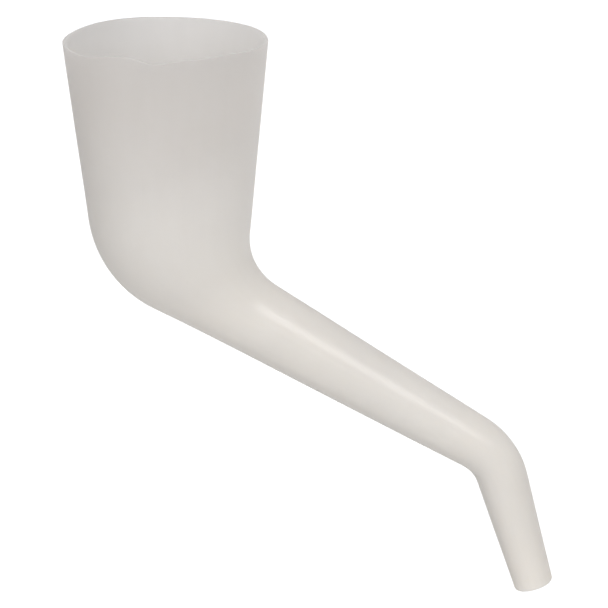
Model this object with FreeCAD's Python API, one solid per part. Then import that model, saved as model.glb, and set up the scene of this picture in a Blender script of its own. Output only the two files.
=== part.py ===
import FreeCAD, Part
import math
import os

# Offset funnel, blow-moulded in one piece: a tall cup, a shoulder that turns into a long
# sloping spout, an elbow, and a tapered tip that stands in the filler neck.
# Millimetres. The origin is the centre of the outlet's end, +Z is up and the cup is on
# the -X side. The funnel is the same on both sides of the XZ plane.

# Cup
mouth_diameter = 102.0
mouth_height = 290.0       # the level rim above the outlet's centre
mouth_reach = 189.0        # the outlet's centre to the middle of the mouth

# Tip
outlet_diameter = 20.0
tip_lean = 17.0            # the tip's axis from upright, in degrees; its end is square to it

# Outline in the XZ plane: where its straight stretches would meet, and the radius that
# rounds each of those corners. The upper outline runs along the top of the spout and the
# lower one along its underside.
upper_shoulder = FreeCAD.Vector(-149.0, 0, 171.8)
upper_shoulder_radius = 31.0
upper_elbow = FreeCAD.Vector(-9.4, 0, 79.8)
upper_elbow_radius = 48.0
lower_shoulder = FreeCAD.Vector(-224.5, 0, 167.2)
lower_shoulder_radius = 62.0
lower_elbow = FreeCAD.Vector(-32.4, 0, 62.8)
lower_elbow_radius = 18.0

# Wall: the blown tube is thinnest where it is widest
mouth_wall = 1.5
outlet_wall = 2.0
edge_radius = 0.4          # on the trimmed edges of the mouth and the outlet

# Fineness of the skin
hoop_count = 37            # hoops that the skin is lofted through, from mouth to outlet
settling_steps = 40        # steps that bring a rolling ball to rest between the outlines

side = FreeCAD.Vector(0, 1, 0)
up = FreeCAD.Vector(0, 0, 1)
mouth_radius = mouth_diameter / 2
outlet_radius = outlet_diameter / 2
lean = math.radians(tip_lean)
mouth_centre = FreeCAD.Vector(-mouth_reach, 0, mouth_height)
outlet_centre = FreeCAD.Vector(0, 0, 0)
outlet_direction = FreeCAD.Vector(math.sin(lean), 0, -math.cos(lean))
across_mouth = FreeCAD.Vector(mouth_radius, 0, 0)
across_outlet = outlet_direction.cross(side) * outlet_radius


def rounded_corner(before, corner, after, radius):
    """The arc that rounds one corner of an outline."""
    to_start = (before - corner).normalize()
    to_end = (after - corner).normalize()
    half_angle = to_start.getAngle(to_end) / 2
    setback = radius / math.tan(half_angle)
    depth = radius / math.sin(half_angle) - radius
    inward = (to_start + to_end).normalize()
    return Part.Arc(corner + to_start * setback, corner + inward * depth, corner + to_end * setback)


def outline(mouth, shoulder, shoulder_radius, elbow, elbow_radius, outlet):
    """One side's outline as five stretches: cup, shoulder, spout, elbow and tip."""
    shoulder_arc = rounded_corner(mouth, shoulder, elbow, shoulder_radius)
    elbow_arc = rounded_corner(shoulder, elbow, outlet, elbow_radius)
    return [
        Part.LineSegment(mouth, shoulder_arc.StartPoint),
        shoulder_arc,
        Part.LineSegment(shoulder_arc.EndPoint, elbow_arc.StartPoint),
        elbow_arc,
        Part.LineSegment(elbow_arc.EndPoint, outlet),
    ]


def length_of(stretches):
    return sum(stretch.length() for stretch in stretches)


def place_on(stretches, distance):
    """The point on an outline at a distance from the mouth, and the outline's direction."""
    for stretch in stretches:
        length = stretch.length()
        if distance <= length or stretch is stretches[-1]:
            parameter = stretch.parameterAtDistance(distance, stretch.FirstParameter)
            return stretch.value(parameter), stretch.tangent(parameter)[0]
        distance -= length


def facing_points(upper, lower, progress):
    """The two points where a ball touches both outlines as it rolls from mouth to outlet."""
    lead = 0
    for _ in range(settling_steps):
        top, top_way = place_on(upper, progress * length_of(upper) + lead)
        bottom, bottom_way = place_on(lower, progress * length_of(lower) - lead)
        lead -= (top - bottom).dot((top_way + bottom_way).normalize()) / 2
    return top, bottom


def wall_at(radius):
    """Wall thickness where the funnel has this outer radius."""
    widening = (radius - outlet_radius) / (mouth_radius - outlet_radius)
    return outlet_wall + (mouth_wall - outlet_wall) * widening


def hoop(top, bottom, hollow):
    """Round section between two facing points: of the skin, or of the hollow in the wall."""
    centre = (top + bottom) / 2
    outward = (top - centre).normalize()
    radius = (top - centre).Length
    if hollow:
        radius -= wall_at(radius)
    circle = Part.Circle(centre, outward.cross(side), radius)
    circle.XAxis = outward
    return Part.Wire([circle.toShape()])


def edges_on(shape, centre, normal):
    """The edges of one trimmed end."""
    on_plane = 0.01
    looks = 5
    return [
        edge
        for edge in shape.Edges
        if all(abs((point - centre).dot(normal)) < on_plane for point in edge.discretize(looks))
    ]


def funnel_body():
    """The moulding: its skin, less its hollow, with the trimmed edges softened."""
    upper = outline(
        mouth_centre + across_mouth,
        upper_shoulder,
        upper_shoulder_radius,
        upper_elbow,
        upper_elbow_radius,
        outlet_centre + across_outlet,
    )
    lower = outline(
        mouth_centre - across_mouth,
        lower_shoulder,
        lower_shoulder_radius,
        lower_elbow,
        lower_elbow_radius,
        outlet_centre - across_outlet,
    )
    pairs = [(mouth_centre + across_mouth, mouth_centre - across_mouth)]
    for step in range(1, hoop_count - 1):
        pairs.append(facing_points(upper, lower, step / (hoop_count - 1)))
    pairs.append((outlet_centre + across_outlet, outlet_centre - across_outlet))
    skin = Part.makeLoft([hoop(top, bottom, False) for top, bottom in pairs], True)
    hollow = Part.makeLoft([hoop(top, bottom, True) for top, bottom in pairs], True)
    wall = skin.cut(hollow).Solids[0]
    trimmed_edges = edges_on(wall, mouth_centre, up)
    trimmed_edges += edges_on(wall, outlet_centre, outlet_direction)
    return wall.makeFillet(edge_radius, trimmed_edges)


os.makedirs("parts", exist_ok=True)
funnel_body().exportStep("parts/funnel_body.step")
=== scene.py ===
import math

import bpy
import numpy as np
from mathutils import Matrix, Vector, noise


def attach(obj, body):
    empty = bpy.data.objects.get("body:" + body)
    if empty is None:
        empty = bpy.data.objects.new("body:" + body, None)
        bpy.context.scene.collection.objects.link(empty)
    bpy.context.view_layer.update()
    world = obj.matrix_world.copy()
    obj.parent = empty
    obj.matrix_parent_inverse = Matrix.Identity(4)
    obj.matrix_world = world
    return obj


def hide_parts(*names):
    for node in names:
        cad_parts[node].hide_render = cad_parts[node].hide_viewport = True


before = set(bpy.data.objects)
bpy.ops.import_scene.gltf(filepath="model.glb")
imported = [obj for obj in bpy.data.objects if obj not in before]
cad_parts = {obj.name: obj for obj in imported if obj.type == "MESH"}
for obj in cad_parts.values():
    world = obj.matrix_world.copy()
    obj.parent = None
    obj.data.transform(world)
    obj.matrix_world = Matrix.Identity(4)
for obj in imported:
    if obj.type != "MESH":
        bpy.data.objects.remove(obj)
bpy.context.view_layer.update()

# Offset funnel, blow-moulded in one piece. Metres; the origin is the centre of the outlet,
# +Z is up, the cup is on the -X side and the XZ plane is the mirror plane.

MM = 0.001
side = Vector((0, 1, 0))

# Outline in the XZ plane, as in the CAD model: each corner with the radius that rounds it
mouth_radius = 51 * MM
mouth_centre = Vector((-189 * MM, 0, 290 * MM))
outlet_radius = 10 * MM
outlet_centre = Vector((0, 0, 0))
tip_lean = math.radians(17)
upper_corners = [
    (Vector((-149 * MM, 0, 171.8 * MM)), 31 * MM),
    (Vector((-9.4 * MM, 0, 79.8 * MM)), 48 * MM),
]
lower_corners = [
    (Vector((-224.5 * MM, 0, 167.2 * MM)), 62 * MM),
    (Vector((-32.4 * MM, 0, 62.8 * MM)), 18 * MM),
]
mouth_wall = 1.5 * MM
outlet_wall = 2 * MM

# Fineness of the mesh
arc_steps = 64             # straight bits in each rounded corner
settling_steps = 40        # steps that bring a rolling ball to rest between the outlines
hoop_count = 190           # hoops from mouth to outlet
column_count = 160         # even columns round each hoop
seam_columns = [0.25, 0.5, 0.9, 1.5]   # degrees either side of the parting line

# Relief left by the mould and the knife
ridge_height = 0.14 * MM
ridge_width = 0.35 * MM
sag = 0.16 * MM            # slow unevenness of the skin
sag_scale = 26.0           # per metre
hollow_sag = 0.22 * MM     # the free inner skin is less even
edge_jitter = 0.10 * MM    # knife marks on the trimmed edges
edge_scale = 180.0
rim_depth = 22 * MM        # how far below the rim its wave has died out
rim_smoothing = 5          # degrees either side that a rise is averaged over
rim_samples = 9            # rises in that average
# The trimmed rim's rise above the mouth's level: degrees round from +X, millimetres
rim_rises = [
    (0, 0.5),
    (26, 0.4),
    (43, 0.1),
    (60, -0.25),
    (88, -0.4),
    (112, 0.1),
    (130, 0.2),
    (147, -0.15),
    (158, -0.5),
    (180, -0.4),
    (203, -0.3),
    (213, -0.2),
    (221, -0.2),
    (228, 0.6),
    (238, 2.5),
    (247, 3.4),
    (253, 3.2),
    (259, 2.2),
    (266, -0.6),
    (271, 0.7),
    (278, 1.9),
    (290, 2.4),
    (310, 2.6),
    (325, 1.7),
    (342, 0.9),
]
# How a trimmed edge rounds off a skin: millimetres across the wall and down from the top
edge_section = [(0, 1.4), (0, 0.8), (0.03, 0.45), (0.12, 0.2), (0.28, 0.06), (0.5, 0)]


def rounded_outline(start, corners, end):
    """Points along an outline: straight stretches joined by arcs."""
    stops = [start, *(corner for corner, _ in corners), end]
    points = [start]
    for before, (corner, radius), after in zip(stops, corners, stops[2:]):
        to_start = (before - corner).normalized()
        to_end = (after - corner).normalized()
        half_angle = to_start.angle(to_end) / 2
        centre = corner + (to_start + to_end).normalized() * radius / math.sin(half_angle)
        setback = radius / math.tan(half_angle)
        first = corner + to_start * setback - centre
        last = corner + to_end * setback - centre
        for step in range(arc_steps + 1):
            points.append(centre + first.slerp(last, step / arc_steps).normalized() * radius)
    points.append(end)
    return points


class Outline:
    """One side's outline, to be walked along from the mouth."""

    probe = 0.3 * MM

    def __init__(self, points):
        self.points = np.array(points)
        steps = np.linalg.norm(np.diff(self.points, axis=0), axis=1)
        self.walked = np.concatenate([[0], np.cumsum(steps)])
        self.length = self.walked[-1]

    def place(self, distance):
        return Vector([np.interp(distance, self.walked, axis) for axis in self.points.T])

    def direction(self, distance):
        return (self.place(distance + self.probe) - self.place(distance - self.probe)).normalized()


def facing_points(upper, lower, progress):
    """The two points where a ball touches both outlines as it rolls from mouth to outlet."""
    lead = 0
    for _ in range(settling_steps):
        above = progress * upper.length + lead
        below = progress * lower.length - lead
        way = (upper.direction(above) + lower.direction(below)).normalized()
        lead -= (upper.place(above) - lower.place(below)).dot(way) / 2
    return upper.place(above), lower.place(below)


def column_angles():
    """Angles round a hoop, from the upper outline; closer together at the parting line."""
    even = np.arange(column_count) * math.tau / column_count
    fine = np.radians(seam_columns)
    spacing = math.tau / column_count
    angles = [angle for angle in even if min(angle % math.pi, -angle % math.pi) > spacing / 2]
    for seam in (0, math.pi):
        angles.append(seam)
        for offset in fine:
            angles.append((seam + offset) % math.tau)
            angles.append((seam - offset) % math.tau)
    return np.array(sorted(angles))


def ridge(angles, radius):
    """Height of the parting line's ridge, for angles round a hoop."""
    off_seam = np.abs(np.sin(angles)) * radius
    return ridge_height * np.exp(-((off_seam / ridge_width) ** 2))


def unevenness(points, height, scale, offset):
    """Smooth random heights at points."""
    shift = Vector((offset, 0, 0))
    return np.array([height * noise.noise(Vector(point) * scale + shift) for point in points])


def ring(centre, outward, radii, angles):
    """Points round a hoop at a radius for each angle."""
    across = np.outer(np.cos(angles), outward) + np.outer(np.sin(angles), side)
    return np.array(centre) + across * np.reshape(radii, (-1, 1))


def widening(radius):
    """How widely the tube is blown at this radius: 0 at the outlet, 1 at the mouth."""
    return (radius - outlet_radius) / (mouth_radius - outlet_radius)


def wall_at(radius):
    """Wall thickness where the funnel has this outer radius."""
    return outlet_wall + (mouth_wall - outlet_wall) * widening(radius)


def rim_rise(angles):
    """Rise of the trimmed rim at angles round the mouth, smoothed over its neighbourhood."""
    places, rises = np.array(rim_rises).T
    samples = [
        np.interp(np.degrees(angles) + offset, places, rises, period=360)
        for offset in np.linspace(-rim_smoothing, rim_smoothing, rim_samples)
    ]
    return MM * np.mean(samples, 0)


def raise_rim(rings, angles):
    """Moves the mouth's rings along the wall so that the top follows the uneven rim."""
    rise = rim_rise(angles)
    slope = rings[0] - rings[1]
    slope /= slope[:, 2:]
    for points in rings:
        depth = (mouth_centre.z - points[:, 2]) / rim_depth
        fade = np.clip(1 - depth, 0, 1) ** 2
        points += slope * (rise * fade).reshape(-1, 1)


def unit(vectors):
    return vectors / np.linalg.norm(vectors, axis=1, keepdims=True)


def edge_rings(near, near_inner, far, far_inner):
    """Rings over a trimmed edge, from one skin's last ring to the other's.

    Each skin's next ring inwards gives the way along it to the edge.
    """
    near_way = unit(near - near_inner)
    far_way = unit(far - far_inner)
    across = unit(far - near)
    jitter = unevenness(near, edge_jitter, edge_scale, offset=5).reshape(-1, 1)
    first = [
        near + across * over * MM - near_way * (down * MM - jitter)
        for over, down in edge_section
    ]
    last = [
        far - across * over * MM - far_way * (down * MM - jitter)
        for over, down in reversed(edge_section)
    ]
    return first + last


def funnel_rings(angles):
    """The whole wall as closed rings: down the skin, over the outlet, up the hollow, over the rim."""
    across_mouth = Vector((mouth_radius, 0, 0))
    outlet_direction = Vector((math.sin(tip_lean), 0, -math.cos(tip_lean)))
    across_outlet = outlet_direction.cross(side) * outlet_radius
    upper = Outline(
        rounded_outline(mouth_centre + across_mouth, upper_corners, outlet_centre + across_outlet)
    )
    lower = Outline(
        rounded_outline(mouth_centre - across_mouth, lower_corners, outlet_centre - across_outlet)
    )
    pairs = [(mouth_centre + across_mouth, mouth_centre - across_mouth)]
    for step in range(1, hoop_count - 1):
        pairs.append(facing_points(upper, lower, step / (hoop_count - 1)))
    pairs.append((outlet_centre + across_outlet, outlet_centre - across_outlet))
    skin = []
    hollow = []
    for top, bottom in pairs:
        centre = (top + bottom) / 2
        outward = (top - centre).normalized()
        radius = (top - centre).length
        smooth = ring(centre, outward, np.full(len(angles), radius), angles)
        radii = radius + ridge(angles, radius) + unevenness(smooth, sag, sag_scale, offset=0)
        skin.append(ring(centre, outward, radii, angles))
        radii = radius - wall_at(radius) + unevenness(smooth, hollow_sag, sag_scale, offset=40)
        hollow.append(ring(centre, outward, radii, angles))
    raise_rim(skin, angles)
    raise_rim(hollow, angles)
    outlet = edge_rings(skin[-1], skin[-2], hollow[-1], hollow[-2])
    rim = edge_rings(hollow[0], hollow[1], skin[0], skin[1])
    # Near its ends each skin gives way to the edges' own, closer rings
    outside = skin[2:-2]
    inside = hollow[2:-2]
    return outside + outlet + inside[::-1] + rim


def grid_faces(rows, columns):
    """Quads between neighbouring rings, closed both ways."""
    faces = []
    for row in range(rows):
        below = (row + 1) % rows
        for column in range(columns):
            beside = (column + 1) % columns
            faces.append(
                (
                    row * columns + column,
                    below * columns + column,
                    below * columns + beside,
                    row * columns + beside,
                )
            )
    return faces


def grid_unwrapped(along, around):
    """UV corners of those quads: u round the hoops, v along the wall."""
    corners = []
    for low, high in zip(along, along[1:]):
        for left, right in zip(around, around[1:]):
            corners += [left, low, left, high, right, high, right, low]
    return corners


def funnel_mesh():
    """A closed skin of quads over the rings, with a UV map and what the material reads."""
    angles = column_angles()
    rings = np.array(funnel_rings(angles))
    rows, columns = rings.shape[:2]
    mesh = bpy.data.meshes.new("funnel_body_visual")
    mesh.from_pydata(rings.reshape(-1, 3).tolist(), [], grid_faces(rows, columns))
    mesh.polygons.foreach_set("use_smooth", [True] * (rows * columns))

    steps = np.linalg.norm(np.roll(rings, -1, 0) - rings, axis=2).mean(1)
    along = np.concatenate([[0], np.cumsum(steps)])
    around = np.append(angles, math.tau) / math.tau
    uv_map = mesh.uv_layers.new(name="UVMap")
    uv_map.data.foreach_set("uv", grid_unwrapped(along / along[-1], around))

    # Grain: a place on a circle round the hoop, and the distance along the wall
    circle = [np.tile(np.cos(angles), rows), np.tile(np.sin(angles), rows)]
    lengthwise = np.repeat(along[:-1], columns)
    grain = mesh.attributes.new("grain", "FLOAT_VECTOR", "POINT")
    grain.data.foreach_set("vector", np.stack([*circle, lengthwise], 1).ravel())

    radii = np.linalg.norm(rings - rings.mean(1, keepdims=True), axis=2).mean(1)
    blown = mesh.attributes.new("widening", "FLOAT", "POINT")
    blown.data.foreach_set("value", np.repeat(np.clip(widening(radii), 0, 1), columns))
    mesh.update()
    return mesh


# Material

# How deep light goes into the wall, and how suddenly that grows towards the mouth
milky_depth = 4 * MM
mouth_depth = 40 * MM
depth_power = 10


def polyethylene():
    """Natural polyethylene: milky, translucent, satin, and clearest where it is blown widest."""
    material = bpy.data.materials.new("natural_polyethylene")
    material.use_nodes = True
    nodes = material.node_tree.nodes
    links = material.node_tree.links
    shader = nodes["Principled BSDF"]
    shader.inputs["IOR"].default_value = 1.51
    shader.inputs["Subsurface Weight"].default_value = 1.0
    shader.inputs["Subsurface Radius"].default_value = (1.0, 0.98, 0.94)

    place = nodes.new("ShaderNodeTexCoord")
    grain = nodes.new("ShaderNodeAttribute")
    grain.attribute_name = "grain"
    blown = nodes.new("ShaderNodeAttribute")
    blown.attribute_name = "widening"

    def cloud(vector, scale, detail):
        texture = nodes.new("ShaderNodeTexNoise")
        texture.inputs["Scale"].default_value = scale
        texture.inputs["Detail"].default_value = detail
        links.new(vector, texture.inputs["Vector"])
        return texture.outputs["Fac"]

    def ramp(factor, stops):
        gradient = nodes.new("ShaderNodeValToRGB")
        elements = gradient.color_ramp.elements
        for element, (position, colour) in zip(elements, stops):
            element.position = position
            element.color = (*colour, 1)
        links.new(factor, gradient.inputs["Fac"])
        return gradient.outputs["Color"]

    def multiply(first, second):
        mix = nodes.new("ShaderNodeMix")
        mix.data_type = "RGBA"
        mix.blend_type = "MULTIPLY"
        mix.inputs["Factor"].default_value = 1
        links.new(first, mix.inputs["A"])
        links.new(second, mix.inputs["B"])
        return mix.outputs["Result"]

    def spread(factor, low, high):
        reach = nodes.new("ShaderNodeMapRange")
        reach.inputs["To Min"].default_value = low
        reach.inputs["To Max"].default_value = high
        links.new(factor, reach.inputs["Value"])
        return reach.outputs["Result"]

    def bump(height, strength, distance):
        relief = nodes.new("ShaderNodeBump")
        relief.inputs["Strength"].default_value = strength
        relief.inputs["Distance"].default_value = distance
        links.new(height, relief.inputs["Height"])
        return relief

    stretch = nodes.new("ShaderNodeMapping")
    stretch.inputs["Scale"].default_value = (1.0, 1.0, 1.2)
    links.new(grain.outputs["Vector"], stretch.inputs["Vector"])

    # Thicker and thinner patches of the blown wall, and faint streaks drawn along it
    patches = ramp(
        cloud(place.outputs["Object"], scale=14, detail=3),
        [(0.3, (0.945, 0.885, 0.815)), (0.7, (0.955, 0.9, 0.835))],
    )
    streaks = ramp(
        cloud(stretch.outputs["Vector"], scale=9, detail=4),
        [(0.35, (0.994, 0.993, 0.991)), (0.65, (1.0, 1.0, 1.0))],
    )
    # Painted shade: the base colour is a few percent darker towards the spout and tip, standing in
    # for less light falling there
    painted_spout_shade = ramp(blown.outputs["Fac"], [(0.25, (0.973, 0.973, 0.972)), (0.9, (0.999, 1.0, 1.0))])
    links.new(multiply(multiply(patches, painted_spout_shade), streaks), shader.inputs["Base Color"])

    # Light goes deeper where the wall is thin, most of all at the mouth
    thinning = nodes.new("ShaderNodeMath")
    thinning.operation = "POWER"
    thinning.inputs[1].default_value = depth_power
    links.new(blown.outputs["Fac"], thinning.inputs[0])
    depth = spread(thinning.outputs["Value"], milky_depth, mouth_depth)
    links.new(depth, shader.inputs["Subsurface Scale"])

    # Satin gloss, duller where it has been handled
    handling = cloud(place.outputs["Object"], scale=55, detail=6)
    links.new(spread(handling, low=0.28, high=0.32), shader.inputs["Roughness"])

    # Skin of the blasted mould over the parison's fine lengthwise lines
    blasting = cloud(place.outputs["Object"], scale=1400, detail=2)
    lines = cloud(stretch.outputs["Vector"], scale=38, detail=2)
    mould = bump(blasting, strength=0.10, distance=0.03 * MM)
    drawn = bump(lines, strength=0.25, distance=0.05 * MM)
    links.new(mould.outputs["Normal"], drawn.inputs["Normal"])
    links.new(drawn.outputs["Normal"], shader.inputs["Normal"])
    return material


funnel = bpy.data.objects.new("funnel_body_visual", funnel_mesh())
bpy.context.scene.collection.objects.link(funnel)
funnel.data.materials.append(polyethylene())
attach(funnel, "root")
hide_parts("funnel_body")


# Stage

floor_drop = 0.25
floor_size = 12.0
# Directions that the room glows in, and how strongly
room_glow = [
    ((0, 0, 1), 0.32),
    ((0, 0, -1), 0.40),
    ((0, -1, 0), 0.28),
    ((0, -0.7, -0.7), 0.17),
    ((-0.7, -0.5, 0.5), 0.53),
    ((0.4, 0.9, 0), 0.63),
    ((0.9, 0.2, -0.4), 0.10),
]
light_colour = (1.0, 0.978, 0.964)
funnel_middle = Vector((-110 * MM, 0, 150 * MM))
spout_middle = Vector((-80 * MM, 0, 100 * MM))
# Square soft lights: name, aim, direction from the aim, distance, width, watts
soft_lights = [
    ("softbox", funnel_middle, (0, -1, 0.35), 2.2, 1.2, 9.6),
    ("lamp", spout_middle, (0.53, -0.68, 0.50), 0.9, 0.34, 1.54),
]


def pale_floor():
    mesh = bpy.data.meshes.new("floor")
    half = floor_size / 2
    corners = [(-half, -half), (half, -half), (half, half), (-half, half)]
    mesh.from_pydata([(x, y, -floor_drop) for x, y in corners], [], [(0, 1, 2, 3)])
    material = bpy.data.materials.new("floor")
    material.use_nodes = True
    shader = material.node_tree.nodes["Principled BSDF"]
    shader.inputs["Base Color"].default_value = (0.9, 0.9, 0.9, 1)
    shader.inputs["Roughness"].default_value = 0.9
    shader.inputs["Emission Color"].default_value = (1, 1, 1, 1)
    shader.inputs["Emission Strength"].default_value = 0.6
    mesh.materials.append(material)
    floor = bpy.data.objects.new("floor", mesh)
    floor.visible_diffuse = False
    floor.visible_glossy = False
    floor.visible_transmission = False
    bpy.context.scene.collection.objects.link(floor)


def soft_light(name, aim, towards, distance, width, power):
    """A square soft light that hangs off the aim in a direction and faces it."""
    lamp = bpy.data.lights.new(name, "AREA")
    lamp.shape = "SQUARE"
    lamp.size = width
    lamp.energy = power
    lamp.color = light_colour
    lamp_object = bpy.data.objects.new(name, lamp)
    direction = Vector(towards).normalized()
    lamp_object.location = aim + direction * distance
    lamp_object.rotation_euler = direction.to_track_quat("Z", "Y").to_euler()
    bpy.context.scene.collection.objects.link(lamp_object)


def room():
    """A bright room: each direction of the glow adds its power times the cosine from it."""
    world = bpy.data.worlds.new("studio")
    world.use_nodes = True
    nodes = world.node_tree.nodes
    links = world.node_tree.links
    background = nodes["Background"]
    background.inputs["Color"].default_value = (*light_colour, 1)
    place = nodes.new("ShaderNodeTexCoord")
    strength = None
    for direction, power in room_glow:
        facing = nodes.new("ShaderNodeVectorMath")
        facing.operation = "DOT_PRODUCT"
        facing.inputs[1].default_value = direction
        links.new(place.outputs["Generated"], facing.inputs[0])
        lit = nodes.new("ShaderNodeMath")
        lit.operation = "MAXIMUM"
        lit.inputs[1].default_value = 0
        links.new(facing.outputs["Value"], lit.inputs[0])
        total = nodes.new("ShaderNodeMath")
        total.operation = "MULTIPLY_ADD"
        total.inputs[1].default_value = power
        total.inputs[2].default_value = 0
        links.new(lit.outputs["Value"], total.inputs[0])
        if strength:
            links.new(strength, total.inputs[2])
        strength = total.outputs["Value"]
    links.new(strength, background.inputs["Strength"])
    bpy.context.scene.world = world


def photographer():
    """The camera, level with the photograph's: a long lens, looking along +Y and a little down."""
    aim = Vector((-119.9 * MM, 0, 152.6 * MM))
    distance = 1.8
    elevation = math.radians(18.124)
    roll = math.radians(0.144)
    back = Vector((0, -math.cos(elevation), math.sin(elevation)))
    right = Vector((1, 0, 0))
    above = back.cross(right)
    rolled_right = right * math.cos(roll) + above * math.sin(roll)
    rolled_above = above * math.cos(roll) - right * math.sin(roll)
    lens = bpy.data.cameras.new("camera")
    lens.sensor_width = 36
    lens.lens = 210.07
    lens.clip_start = 0.05
    camera = bpy.data.objects.new("camera", lens)
    turn = Matrix((rolled_right, rolled_above, back)).transposed()
    camera.matrix_world = Matrix.LocRotScale(aim + back * distance, turn, None)
    bpy.context.scene.collection.objects.link(camera)
    bpy.context.scene.camera = camera


pale_floor()
room()
for light in soft_lights:
    soft_light(*light)
photographer()
bpy.context.scene.view_settings.view_transform = "Standard"
